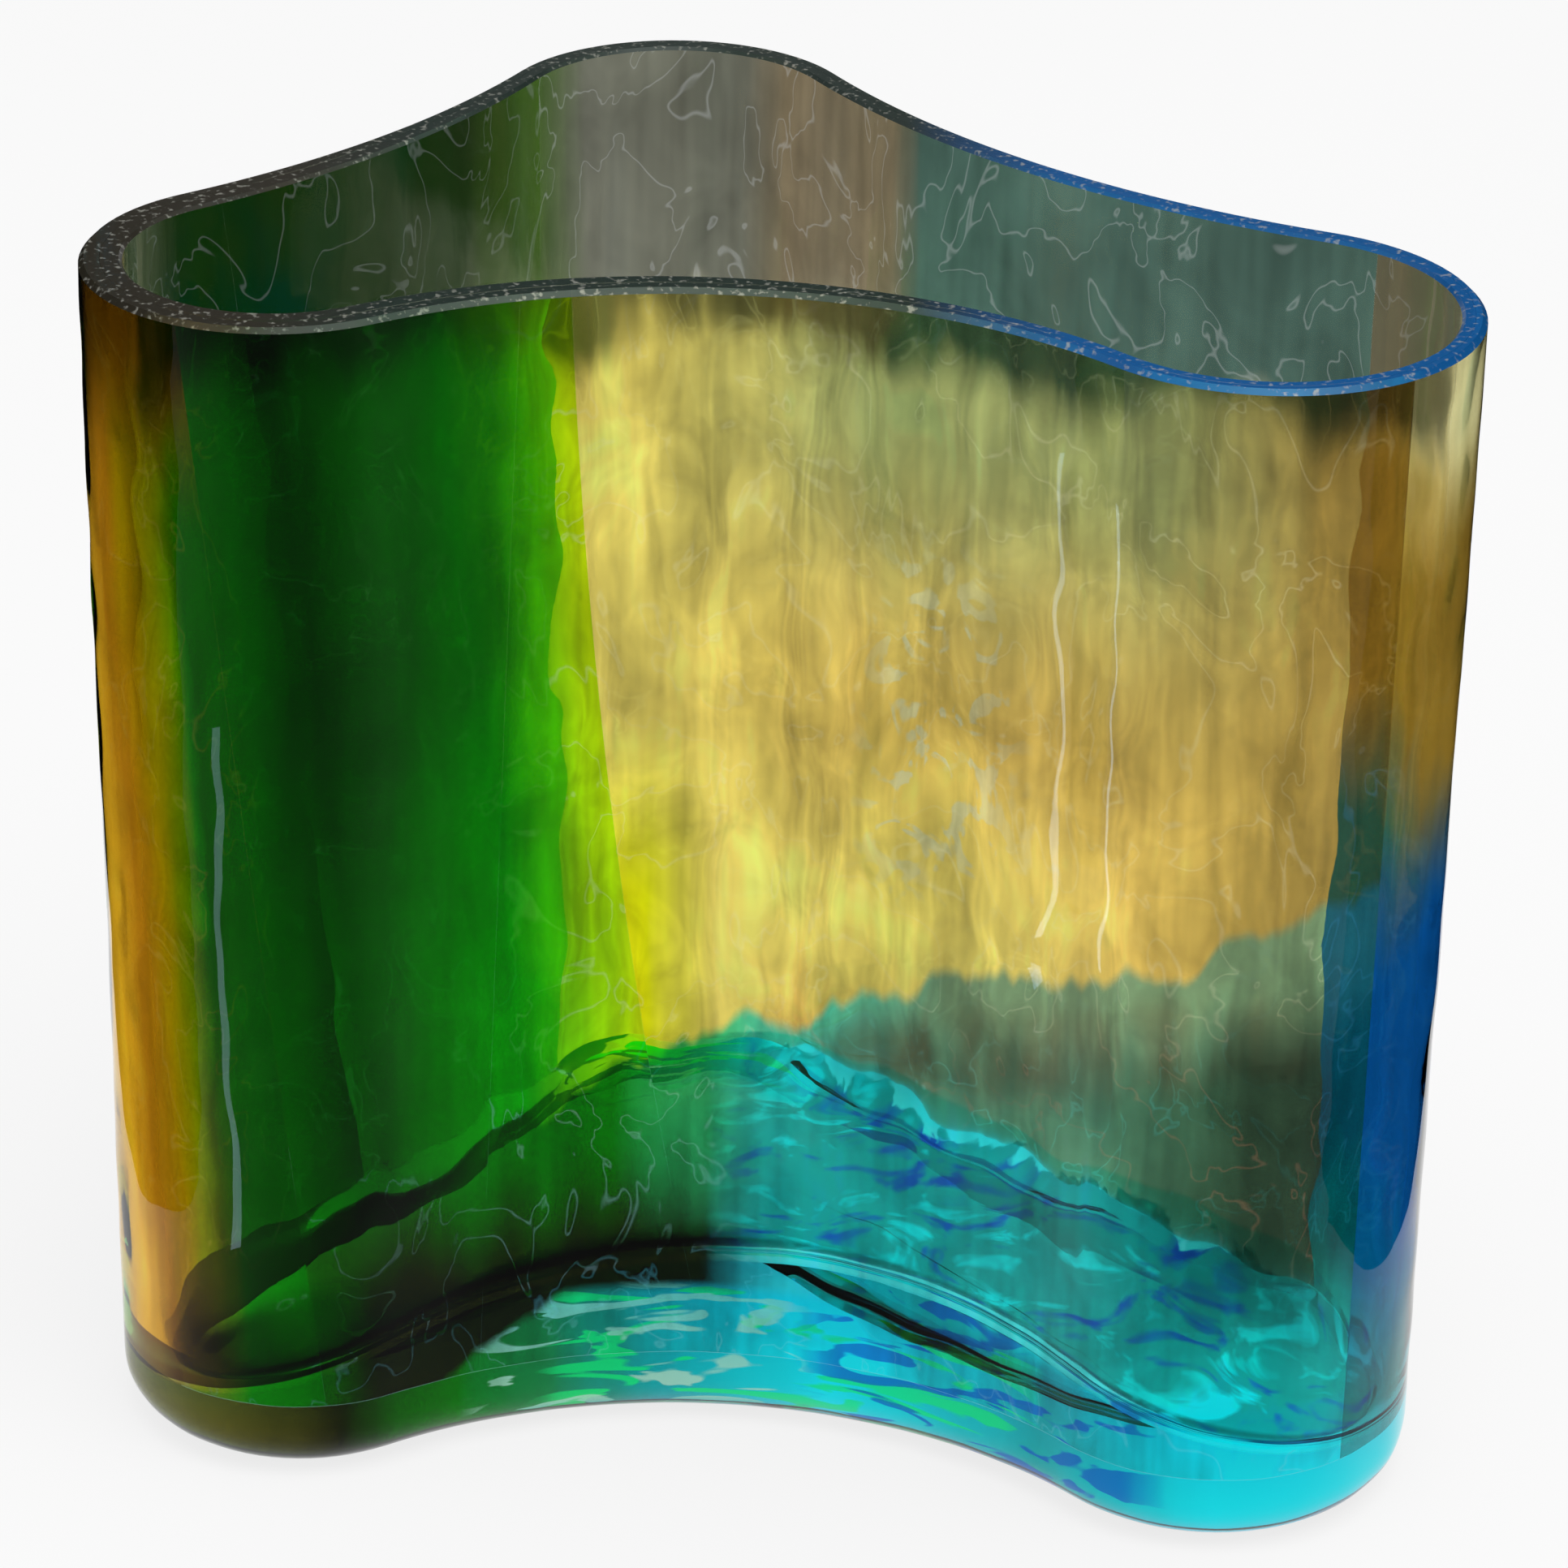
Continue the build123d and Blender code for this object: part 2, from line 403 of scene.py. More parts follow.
def write_piece(name, bm, materials, node):
    """Turns the bmesh into an object that stands for its CAD node."""
    bmesh.ops.recalc_face_normals(bm, faces=bm.faces)
    layer = finish_layer(bm)
    for face in bm.faces:
        face.smooth = True
        face.material_index = min(int(face[layer]), len(materials) - 1)
    for edge in bm.edges:
        finishes = {face[layer] for face in edge.link_faces}
        edge.smooth = len(finishes) == 1 and edge.calc_face_angle(0.0) < CREASE
    mesh = bpy.data.meshes.new(name)
    bm.to_mesh(mesh)
    bm.free()
    piece = bpy.data.objects.new(name, mesh)
    bpy.context.scene.collection.objects.link(piece)
    for material in materials:
        mesh.materials.append(material)
    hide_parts(node)
    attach(piece, "root")
    return piece


# --- Glass --------------------------------------------------------------------------------------


MIXED = {"kind": "ShaderNodeMix", "data_type": "RGBA", "out": 2}
RISING = {"kind": "ShaderNodeMapRange", "interpolation_type": "SMOOTHSTEP"}
RAMP = {"kind": "ShaderNodeValToRGB"}
NOISE = {"kind": "ShaderNodeTexNoise", "out": "Fac"}
TIMES = {"kind": "ShaderNodeMath", "operation": "MULTIPLY"}
TIMES_PLUS = {"kind": "ShaderNodeMath", "operation": "MULTIPLY_ADD"}
PLACE_TIMES_PLUS = {"kind": "ShaderNodeVectorMath", "operation": "MULTIPLY_ADD"}
OVER = {"kind": "ShaderNodeMath", "operation": "GREATER_THAN"}
PLACE = {"kind": "ShaderNodeTexCoord", "out": "Object"}
STRETCHED = {"kind": "ShaderNodeMapping"}
LAYER = {"kind": "ShaderNodeAttribute", "out": "Fac"}
GLASS = {"kind": "ShaderNodeBsdfPrincipled"}
EITHER_GLASS = {"kind": "ShaderNodeMixShader"}
OUTPUT = {"kind": "ShaderNodeOutputMaterial"}

CLEAR = (1.0, 1.0, 1.0, 1.0)
BLACK = (0.0, 0.0, 0.0, 1.0)
# Fused glass: light goes straight on, so that the face can't be seen.
FUSED = {"Base Color": CLEAR, "Roughness": 0.0, "IOR": 1.0, "Transmission Weight": 1.0}
# Fire-polished glass: a smooth skin that bends light and mirrors little of the studio.
FIRE_POLISH = {
    "Roughness": 0.0, "IOR": GLASS_IOR, "Transmission Weight": 1.0, "Specular Tint": (0.05, 0.05, 0.05, 1.0),
}
# Sawn and ground glass: satin and half frosted.
SATIN = {
    "Roughness": 0.3, "IOR": GLASS_IOR, "Transmission Weight": 0.4, "Specular Tint": (0.4, 0.4, 0.4, 1.0),
}
AQUA_DENSITY = 30.0                    # how fast the gathers' glass takes up its colour, per metre
FLOOR_EDGE = 0.02                      # the gather's floor colouring, with its painted shade and painted caustic, starts here in the floor layer
CLIMB = WIDTH / HEIGHT                 # turns a slope in millimetres into one in parts of the box


def add(tree, inputs, stops=(), kind="", out=0, **settings):
    """Adds a node with its settings and its inputs' values or links. Returns one of its outputs."""
    made = tree.nodes.new(kind)
    for name, value in settings.items():
        setattr(made, name, value)
    for key, value in inputs.items():
        if isinstance(value, bpy.types.NodeSocket):
            tree.links.new(value, made.inputs[key])
        else:
            made.inputs[key].default_value = value
    if stops:
        elements = made.color_ramp.elements
        while len(elements) < len(stops):
            elements.new(1.0)
        for element, (place, colour) in zip(elements, stops):
            element.position, element.color = place, colour
    return made.outputs[out] if made.outputs else made


def across(x):
    """Where a distance from the middle, in millimetres, lies from the left edge to the right one."""
    return (x * MM - LOW.x) / WIDTH


def up(z):
    """Where a height in millimetres lies from the underside to the rim."""
    return (z * MM - LOW.z) / HEIGHT


def drawn_out(tree, wander, sag):
    """Place of a point in the box, from 0 to 1 each way, as if the colour there had wandered and sagged.

    It does so in upright streaks about 8 mm wide, by up to wander sideways and sag in height, in millimetres.
    """
    place = add(tree, {}, **PLACE)
    drawn = add(tree, {"Vector": place, "Scale": (1.0, 1.0, 0.12)}, **STRETCHED)
    streaks = add(tree, {
        "Vector": drawn, "Scale": 1 / (8 * MM), "Detail": 2.0,
    }, kind="ShaderNodeTexNoise", out="Color")
    drift = add(tree, {
        0: streaks,
        1: (2 * wander * MM / WIDTH, 0.0, 2 * sag * MM / HEIGHT),
        2: ((-wander * MM - LOW.x) / WIDTH, -LOW.y / DEPTH, (-sag * MM - LOW.z) / HEIGHT),
    }, **PLACE_TIMES_PLUS)
    box_place = add(tree, {0: place, 1: (1 / WIDTH, 1 / DEPTH, 1 / HEIGHT), 2: drift}, **PLACE_TIMES_PLUS)
    return add(tree, {0: box_place}, kind="ShaderNodeSeparateXYZ").node.outputs


def optic(tree, colour, strength):
    """Mottles and streaks the colour, and draws the thin pale curls that an optic mould leaves."""
    place = add(tree, {}, **PLACE)
    squat = add(tree, {"Vector": place, "Scale": (1.0, 1.0, 0.7)}, **STRETCHED)
    dimples = add(tree, {
        "Vector": squat, "Scale": 1 / (17 * MM), "Detail": 3.0, "Roughness": 0.55, "Distortion": 0.6,
    }, **NOISE)
    drawn = add(tree, {"Vector": place, "Scale": (1.0, 1.0, 0.08)}, **STRETCHED)
    streaks = add(tree, {"Vector": drawn, "Scale": 1 / (2.6 * MM), "Detail": 1.0}, **NOISE)
    both = add(tree, {0: streaks, 1: 0.4, 2: dimples}, **TIMES_PLUS)
    level = add(tree, {
        "Value": both, "From Min": 0.45, "From Max": 0.95,
        "To Min": 1 - 0.34 * strength, "To Max": 1 + 0.3 * strength,
    }, kind="ShaderNodeMapRange")
    lit = add(tree, {0: colour, 3: level}, kind="ShaderNodeVectorMath", operation="SCALE")
    bands = add(tree, {0: dimples, 1: 0.085}, kind="ShaderNodeMath", operation="PINGPONG")
    curl = add(tree, {"Value": bands, "From Min": 0.009, "From Max": 0.0}, **RISING)
    faint = add(tree, {0: curl, 1: 0.12 * strength}, **TIMES)
    return add(tree, {0: faint, 6: lit, 7: CLEAR}, **MIXED)


def new_tree(material):
    """An empty node tree for a material or a world."""
    material.use_nodes = True
    material.node_tree.nodes.clear()
    return material.node_tree


def fused_joint():
    """Where two pieces of glass are fused, there is no surface for the eye to find."""
    material = bpy.data.materials.new("clear_fused_joint")
    tree = new_tree(material)
    add(tree, {"Surface": add(tree, FUSED, **GLASS)}, **OUTPUT)
    return material


def stained_skin(tree, colour):
    """Fire-polished glass in this colour, squared because a face lets only the root of its colour through."""
    squared = add(tree, {0: colour, 1: colour}, kind="ShaderNodeVectorMath", operation="MULTIPLY")
    return add(tree, {"Base Color": squared, **FIRE_POLISH}, **GLASS)


def fire_polished(name, paint, mould):
    """Soda-lime glass, blown and fire polished: glossy, rippled, and stained by the overlay's colour."""
    material = bpy.data.materials.new(name + "_fire_polished")
    tree = new_tree(material)
    add(tree, {"Surface": stained_skin(tree, optic(tree, paint(tree), mould))}, **OUTPUT)
    return material


def ground_rim(colours):
    """Soda-lime glass, sawn and ground: satin, with pits of about 1 mm that catch the light, painted pale as
    glints.
    """
    material = bpy.data.materials.new("ground_rim")
    tree = new_tree(material)
    add(tree, {"Surface": add(tree, {"Base Color": rim_field(colours)(tree), **SATIN}, **GLASS)}, **OUTPUT)
    return material


def gather_glass(name, colours, stain_and_painted_light, rim=None):
    """Aqua glass, blown: it colours with its thickness, so its edges and its base look the deepest.

    One material holds all its finishes, so that its faces close round one body of glass.
    """
    material = bpy.data.materials.new(name)
    tree = new_tree(material)
    finish = add(tree, {}, attribute_name="finish", **LAYER)
    free = add(tree, {0: finish, 1: 1.0}, kind="ShaderNodeMath", operation="MINIMUM")
    seam = add(tree, FUSED, **GLASS)
    shader = stained_skin(tree, stain_and_painted_light(tree))
    if rim:
        wall = add(tree, {"Base Color": CLEAR, **FIRE_POLISH}, **GLASS)
        floor = add(tree, {}, attribute_name="floor", **LAYER)
        low = add(tree, {0: floor, 1: FLOOR_EDGE}, **OVER)
        shader = add(tree, {0: low, 1: wall, 2: shader}, **EITHER_GLASS)
    shader = add(tree, {0: free, 1: seam, 2: shader}, **EITHER_GLASS)
    if rim:
        satin = add(tree, {"Base Color": rim(tree), **SATIN}, **GLASS)
        ground = add(tree, {0: finish, 1: (SKIN + GROUND) / 2}, **OVER)
        shader = add(tree, {0: ground, 1: shader, 2: satin}, **EITHER_GLASS)
    volume = add(tree, {"Color": colours.aqua, "Density": AQUA_DENSITY}, kind="ShaderNodeVolumeAbsorption")
    add(tree, {"Surface": shader, "Volume": volume}, **OUTPUT)
    return material


# --- Colour fields ------------------------------------------------------------------------------


def left_front(colours):
    """Green and lime in upright bands that lean a little, over the dark foot."""
    def paint(tree):
        side, _, height = drawn_out(tree, 3.5, 9.0)
        slant = add(tree, {0: height, 1: 0.09, 2: side}, **TIMES_PLUS)
        bands = add(tree, {0: slant}, [
            (across(-102) + 0.03, colours.amber), (across(-92) + 0.03, colours.olive),
            (across(-82) + 0.04, colours.green), (across(-66) + 0.05, colours.deep_green),
            (across(-54) + 0.05, colours.green), (across(-42) + 0.05, colours.leaf),
            (across(-34) + 0.06, colours.lime), (across(-14) + 0.04, colours.yellow),
        ], **RAMP)
        return over_foot(tree, colours, bands, side, height)
    return paint


def right_front(colours):
    """Gold with wisps, greener towards the rim and warmer towards its foot, over the sea-blue foot. The gold
    is painted light, sunlit wood seen through the glass, and the pale wisps are painted reflections of the
    sky.
    """
    def paint(tree):
        side, _, height = drawn_out(tree, 3.5, 9.0)
        low = add(tree, {0: side}, [
            (across(-18), colours.yellow), (across(-8), colours.honey), (across(34), colours.honey),
            (across(56), colours.gold), (across(84), colours.bronze),
        ], **RAMP)
        middle = add(tree, {0: side}, [
            (across(-20), colours.honey), (across(15), colours.gold), (across(58), colours.gold),
            (across(84), colours.bronze),
        ], **RAMP)
        high = add(tree, {0: side}, [
            (across(-24), colours.honey), (across(12), colours.moss), (across(56), colours.moss),
            (across(80), colours.bronze),
        ], **RAMP)
        warm = add(tree, {"Value": height, "From Min": up(96), "From Max": up(135)}, **RISING)
        green = add(tree, {"Value": height, "From Min": up(132), "From Max": up(185)}, **RISING)
        gold = add(tree, {0: warm, 6: low, 7: middle}, **MIXED)
        gold = add(tree, {0: green, 6: gold, 7: high}, **MIXED)
        place = add(tree, {}, **PLACE)
        # Painted reflections of the sky: pale wisps in one column of the gold.
        curls = add(tree, {
            "Vector": place, "Scale": 1 / (11 * MM), "Detail": 2.0, "Distortion": 2.4,
        }, **NOISE)
        reflection_wisp = add(tree, {"Value": curls, "From Min": 0.54, "From Max": 0.6, "To Max": 0.55}, **RISING)
        column = add(tree, {0: side}, [
            (across(12), BLACK), (across(20), CLEAR), (across(30), CLEAR), (across(40), BLACK),
        ], **RAMP)
        stretch = add(tree, {0: height}, [
            (up(98), BLACK), (up(112), CLEAR), (up(150), CLEAR), (up(168), BLACK),
        ], **RAMP)
        reflected = add(tree, {0: add(tree, {0: reflection_wisp, 1: column}, **TIMES), 1: stretch}, **TIMES)
        gold = add(tree, {0: reflected, 6: gold, 7: colours.sky_reflection}, **MIXED)
        return over_foot(tree, colours, gold, side, height)
    return paint


def over_foot(tree, colours, upper, side, height):
    """The upper colour over the foot's, with a ragged border between them that climbs to the right. The
    darkest brown on the left of the foot is painted shade, and the grey just under the border on the right is
    a painted shadow: the vase's own shadow, seen through the glass.
    """
    foot = add(tree, {0: side}, [
        (across(-80), colours.painted_shade), (across(-50), colours.bottle), (across(-24), colours.bottle),
        (across(-10), colours.shoal), (across(2), colours.sea), (across(50), colours.sea),
        (across(74), colours.petrol),
    ], **RAMP)
    # Painted shade: the lowest band of the foot is darkest on the left.
    low_foot_shade = add(tree, {0: side}, [
        (across(-92), colours.olive), (across(-76), colours.bottle), (across(-62), colours.painted_shade),
        (across(-10), colours.painted_shade), (across(4), colours.sea),
    ], **RAMP)
    above_low_foot_shade = add(tree, {"Value": height, "From Min": up(30), "From Max": up(56)}, **RISING)
    foot = add(tree, {0: above_low_foot_shade, 6: low_foot_shade, 7: foot}, **MIXED)
    place = add(tree, {}, **PLACE)
    level = add(tree, {0: place}, kind="ShaderNodeSeparateXYZ", out=2)
    heel_top = add(tree, {
        "Value": side, "From Min": across(-60), "From Max": across(-32), "To Min": 8 * MM, "To Max": 26 * MM,
    }, kind="ShaderNodeMapRange")
    over_heel = add(tree, {0: level, 1: heel_top}, kind="ShaderNodeMath", operation="SUBTRACT")
    above_heel = add(tree, {"Value": over_heel, "From Min": -1 * MM, "From Max": 2 * MM}, **RISING)
    foot = add(tree, {0: above_heel, 6: base_stain_and_painted_light(colours)(tree), 7: foot}, **MIXED)
    climb = 0.45 * CLIMB
    border = add(tree, {0: side, 1: -climb, 2: height}, **TIMES_PLUS)
    middle = up(76) - climb * across(0)
    # Painted shadow: grey just under the border on the right, the vase's own shadow seen through the glass.
    right = add(tree, {"Value": side, "From Min": across(6), "From Max": across(30)}, **RISING)
    under = add(tree, {"Value": border, "From Min": middle - 0.13, "From Max": middle - 0.03}, **RISING)
    shaded = add(tree, {0: right, 1: under}, **TIMES)
    foot = add(tree, {0: shaded, 6: foot, 7: colours.painted_shadow}, **MIXED)
    above = add(tree, {"Value": border, "From Min": middle - 0.008, "From Max": middle + 0.008}, **RISING)
    return add(tree, {0: above, 6: foot, 7: upper}, **MIXED)


def amber_field(colours):
    """Amber round the left lobe, browner near the rim and night green behind its top."""
    def paint(tree):
        side, depth, height = drawn_out(tree, 3.0, 6.0)
        slant = add(tree, {0: height, 1: 0.045, 2: side}, **TIMES_PLUS)
        bands = add(tree, {0: slant}, [
            (across(-100) + 0.013, colours.amber), (across(-96) + 0.013, colours.sienna),
            (across(-92) + 0.013, colours.olive), (across(-83) + 0.01, colours.green),
            (across(-66) + 0.02, colours.deep_green),
        ], **RAMP)
        top = add(tree, {"Value": height, "From Min": up(166), "From Max": up(196)}, **RISING)
        front = add(tree, {0: top, 6: bands, 7: colours.umber}, **MIXED)
        rear = add(tree, {"Value": depth, "From Min": 0.33, "From Max": 0.38}, **RISING)
        high = add(tree, {"Value": height, "From Min": up(160), "From Max": up(180)}, **RISING)
        behind = add(tree, {0: rear, 1: high}, **TIMES)
        return add(tree, {0: behind, 6: front, 7: colours.night_green}, **MIXED)
    return paint


def blue_field(colours):
    """Blue round the foot of the right lobe, under fawn that pales towards the rim. The fawn and straw are
    painted light, sunlit wood seen through the glass, and the tan behind is painted shade.
    """
    def paint(tree):
        _, depth, height = drawn_out(tree, 2.0, 12.0)
        front = add(tree, {0: height}, [
            (up(20), colours.lagoon), (up(50), colours.blue), (up(104), colours.blue),
            (up(128), colours.fawn), (up(165), colours.fawn), (up(185), colours.straw),
        ], **RAMP)
        rear = add(tree, {"Value": depth, "From Min": 0.2, "From Max": 0.26}, **RISING)
        high = add(tree, {"Value": height, "From Min": up(166), "From Max": up(178)}, **RISING)
        behind = add(tree, {0: rear, 1: high}, **TIMES)
        return add(tree, {0: behind, 6: front, 7: colours.tan}, **MIXED)
    return paint


def back_green_field(colours):
    """Greens behind the left lobe, night green above a border that rises to the left."""
    def paint(tree):
        side, _, height = drawn_out(tree, 4.0, 6.0)
        high = add(tree, {0: side}, [(across(-52), colours.night_green), (across(-41), colours.fern)], **RAMP)
        low = add(tree, {0: side}, [(across(-52), colours.back_green), (across(-38), colours.lime)], **RAMP)
        foot = add(tree, {0: side}, [(across(-52), colours.pale_green), (across(-38), colours.lime)], **RAMP)
        off_foot = add(tree, {"Value": height, "From Min": up(35), "From Max": up(110)}, **RISING)
        low = add(tree, {0: off_foot, 6: foot, 7: low}, **MIXED)
        fall = 0.25 * CLIMB
        border = add(tree, {0: side, 1: fall, 2: height}, **TIMES_PLUS)
        middle = up(150) + fall * across(-17)
        above = add(tree, {"Value": border, "From Min": middle - 0.04, "From Max": middle + 0.04}, **RISING)
        return add(tree, {0: above, 6: low, 7: high}, **MIXED)
    return paint


def smoke_field(colours):
    """Smoke grey and brown over straw at the back, and rust over the foot of its right part. The grey, brown
    and slate are painted shade and the straw and rust painted light: shade and sunlit wood seen through the
    glass.
    """
    def paint(tree):
        side, _, height = drawn_out(tree, 3.0, 8.0)
        top = add(tree, {0: side}, [
            (across(-42), colours.fern), (across(-33), colours.mauve), (across(-6), colours.mauve),
            (across(2), colours.brown), (across(19), colours.brown), (across(24), colours.slate),
        ], **RAMP)
        foot = add(tree, {0: side}, [(across(-6), colours.straw), (across(16), colours.rust)], **RAMP)
        foot_climb, top_climb = 0.42 * CLIMB, 0.17 * CLIMB
        border = add(tree, {0: side, 1: -foot_climb, 2: height}, **TIMES_PLUS)
        middle = up(24) - foot_climb * across(0)
        dry = add(tree, {"Value": border, "From Min": middle - 0.03, "From Max": middle + 0.06}, **RISING)
        low = add(tree, {0: dry, 6: foot, 7: colours.straw}, **MIXED)
        border = add(tree, {0: side, 1: -top_climb, 2: height}, **TIMES_PLUS)
        middle = up(152) - top_climb * across(-17)
        above = add(tree, {"Value": border, "From Min": middle - 0.03, "From Max": middle + 0.03}, **RISING)
        return add(tree, {0: above, 6: low, 7: top}, **MIXED)
    return paint


def rim_field(colours):
    """Smoke grey on the left to blue on the right, with pale pits: painted glints."""
    def paint(tree):
        place = add(tree, {}, **PLACE)
        side = add(tree, {0: drawn_out(tree, 2.0, 2.0)[0]}, [
            (across(-76), colours.rim_smoke), (across(-58), colours.rim_teal), (across(20), colours.rim_teal),
            (across(44), colours.rim_blue),
        ], **RAMP)
        # Pale pits are painted glints.
        pits = add(tree, {"Vector": place, "Scale": 1 / (1.1 * MM), "Detail": 2.0}, **NOISE)
        pit_glint = add(tree, {"Value": pits, "From Min": 0.56, "From Max": 0.72, "To Max": 0.5}, **RISING)
        return add(tree, {0: pit_glint, 6: side, 7: colours.rim_pit_glint}, **MIXED)
    return paint


def gather_stain_and_painted_light(colours):
    """Inside of the vase: clear walls, painted shade in the near corner round the left of the floor, lagoon
    blue on the right of it, and a painted caustic, a bright line where the floor meets the back wall.
    """
    def paint(tree):
        side, depth, _ = drawn_out(tree, 4.0, 4.0)
        floor = add(tree, {}, attribute_name="floor", **LAYER)
        place = add(tree, {}, **PLACE)
        swirl = add(tree, {
            "Vector": place, "Scale": 1 / (13 * MM), "Detail": 3.0, "Distortion": 1.2,
        }, **NOISE)
        # Painted shade in the near part of the floor's rounded corner, on the left.
        shade = add(tree, {0: floor}, [
            (0.05, colours.painted_shade), (0.5, colours.painted_shade), (0.6, colours.leaf), (0.7, CLEAR),
        ], **RAMP)
        pool = add(tree, {0: swirl}, [
            (0.33, colours.navy), (0.45, colours.lagoon), (0.55, colours.lagoon), (0.66, colours.cyan),
        ], **RAMP)
        near = add(tree, {"Value": depth, "From Min": 0.42, "From Max": 0.33}, **RISING)
        shade = add(tree, {0: near, 6: CLEAR, 7: shade}, **MIXED)
        eastern = add(tree, {"Value": side, "From Min": across(-16), "From Max": across(2)}, **RISING)
        stained = add(tree, {0: eastern, 6: shade, 7: pool}, **MIXED)
        # Painted caustic: a ragged bright line along the far corner of the floor, on the right.
        jag = add(tree, {0: swirl, 1: 0.7, 2: floor}, **TIMES_PLUS)
        below = add(tree, {"Value": floor, "From Min": FLOOR_EDGE, "From Max": 0.06}, **RISING)
        edge = add(tree, {"Value": jag, "From Min": 0.56, "From Max": 0.52}, **RISING)
        far = add(tree, {"Value": depth, "From Min": 0.3, "From Max": 0.4}, **RISING)
        right = add(tree, {"Value": side, "From Min": across(-6), "From Max": across(2)}, **RISING)
        line = add(tree, {0: add(tree, {0: far, 1: right}, **TIMES), 1: edge}, **TIMES)
        stained = add(tree, {0: line, 6: stained, 7: colours.painted_caustic}, **MIXED)
        return add(tree, {0: below, 6: CLEAR, 7: stained}, **MIXED)
    return paint


def base_stain_and_painted_light(colours):
    """Heel of the vase: olive and green on the left, cyan on the right, with green, cream and navy glints.
    The darkest brown on the left is painted shade, and the green and cream glints are painted highlights.
    """
    def paint(tree):
        side = drawn_out(tree, 4.0, 2.0)[0]
        place = add(tree, {}, **PLACE)
        flat = add(tree, {"Vector": place, "Scale": (0.3, 0.3, 1.3)}, **STRETCHED)
        swirl = add(tree, {
            "Vector": flat, "Scale": 1 / (6 * MM), "Detail": 2.0, "Distortion": 1.0,
        }, kind="ShaderNodeTexNoise", out="Color")
        first, second, third = add(tree, {0: swirl}, kind="ShaderNodeSeparateXYZ").node.outputs
        # The darkest brown on the left of the heel is painted shade.
        heel = add(tree, {0: side}, [
            (across(-95), colours.umber), (across(-66), colours.painted_shade), (across(-50), colours.bottle),
            (across(-34), colours.reed), (across(-16), colours.lagoon), (across(12), colours.cyan),
            (across(44), colours.lagoon), (across(72), colours.cyan),
        ], **RAMP)
        # The green and cream spots are painted glints.
        for mask, low, high, start, stop, colour in (
            (first, 0.55, 0.6, -40, 46, colours.spring), (second, 0.56, 0.6, -50, 10, colours.cream),
            (third, 0.54, 0.58, 4, 66, colours.navy),
        ):
            spot = add(tree, {"Value": mask, "From Min": low, "From Max": high, "To Max": 0.75}, **RISING)
            after = add(tree, {
                "Value": side, "From Min": across(start), "From Max": across(start + 10),
            }, **RISING)
            before = add(tree, {
                "Value": side, "From Min": across(stop), "From Max": across(stop - 10),
            }, **RISING)
            spot = add(tree, {0: add(tree, {0: spot, 1: after}, **TIMES), 1: before}, **TIMES)
            heel = add(tree, {0: spot, 6: heel, 7: colour}, **MIXED)
        return heel
    return paint


# --- Pieces -------------------------------------------------------------------------------------


class VASE_OT_inner_gather(bpy.types.Operator):
    """Aqua glass that lines the whole vase, with a domed floor"""

    bl_idname = "vase.inner_gather"
    bl_label = "Inner gather"

    def execute(self, context):
        sizes, colours = context.scene.vase_sizes, context.scene.vase_colours
        bm = begin()
        seams, walls = seam_insets(sizes, SEAM_GAP), wall_insets(sizes)
        bottom = LOW.z + sizes.underside + SEAM_GAP
        seam_low = draw_outline(bm, sizes, seams, bottom + sizes.seam_heel)
        round_under(bm, sizes, seam_low, seams, sizes.seam_heel, bottom, SEAM, SEAM)
        lip = draw_outline(bm, sizes, [wall - sizes.inner_bevel for wall in walls], HIGH.z)
        wall_low = make_floor(bm, sizes, walls)
        join_loops(bm, raise_wall(bm, sizes, seam_low, HIGH.z, SEAM), lip, GROUND)
        join_loops(bm, raise_wall(bm, sizes, wall_low, HIGH.z - sizes.inner_bevel, SKIN), lip, GROUND)
        ripple_skin(bm, sizes, seed=2)
        material = gather_glass("aqua_glass_blown", colours, gather_stain_and_painted_light(colours), rim_field(colours))
        write_piece("inner_gather_glass", bm, [material], "inner_gather")
        return {"FINISHED"}


class VASE_OT_base_gather(bpy.types.Operator):
    """Thick glass base with a rounded heel that holds the inner gather"""

    bl_idname = "vase.base_gather"
    bl_label = "Base gather"

    def execute(self, context):
        sizes, colours = context.scene.vase_sizes, context.scene.vase_colours
        bm = begin()
        seams = seam_insets(sizes)
        low = draw_outline(bm, sizes, (0.0, 0.0, 0.0), LOW.z + sizes.heel)
        round_under(bm, sizes, low, (0.0, 0.0, 0.0), sizes.heel, LOW.z, SKIN, SEAM)
        bottom = LOW.z + sizes.underside
        pocket = draw_outline(bm, sizes, seams, bottom + sizes.seam_heel)
        round_under(bm, sizes, pocket, seams, sizes.seam_heel, bottom, SEAM, SEAM)
        outer = raise_wall(bm, sizes, low, FOOT, SKIN)
        join_loops(bm, outer, raise_wall(bm, sizes, pocket, FOOT, SEAM), SEAM)
        ripple_skin(bm, sizes, seed=1)
        material = gather_glass("base_glass_blown", colours, base_stain_and_painted_light(colours))
        write_piece("base_gather_glass", bm, [material], "base_gather")
        return {"FINISHED"}


def casing(sizes):
    """The whole ring of overlays, before it is cut into colour fields."""
    bm = begin()
    foot = FOOT + SEAM_GAP
    outer_low = draw_outline(bm, sizes, (0.0, 0.0, 0.0), foot)
    seam_low = draw_outline(bm, sizes, seam_insets(sizes), foot)
    lip = draw_outline(bm, sizes, [sizes.outer_bevel] * 3, HIGH.z)
    join_loops(bm, outer_low, seam_low, JOINT)
    outer_high = raise_wall(bm, sizes, outer_low, HIGH.z - sizes.outer_bevel, SKIN)
    join_loops(bm, outer_high, lip, GROUND)
    join_loops(bm, lip, raise_wall(bm, sizes, seam_low, HIGH.z, SEAM), GROUND)
    ripple_skin(bm, sizes, seed=1)
    return bm


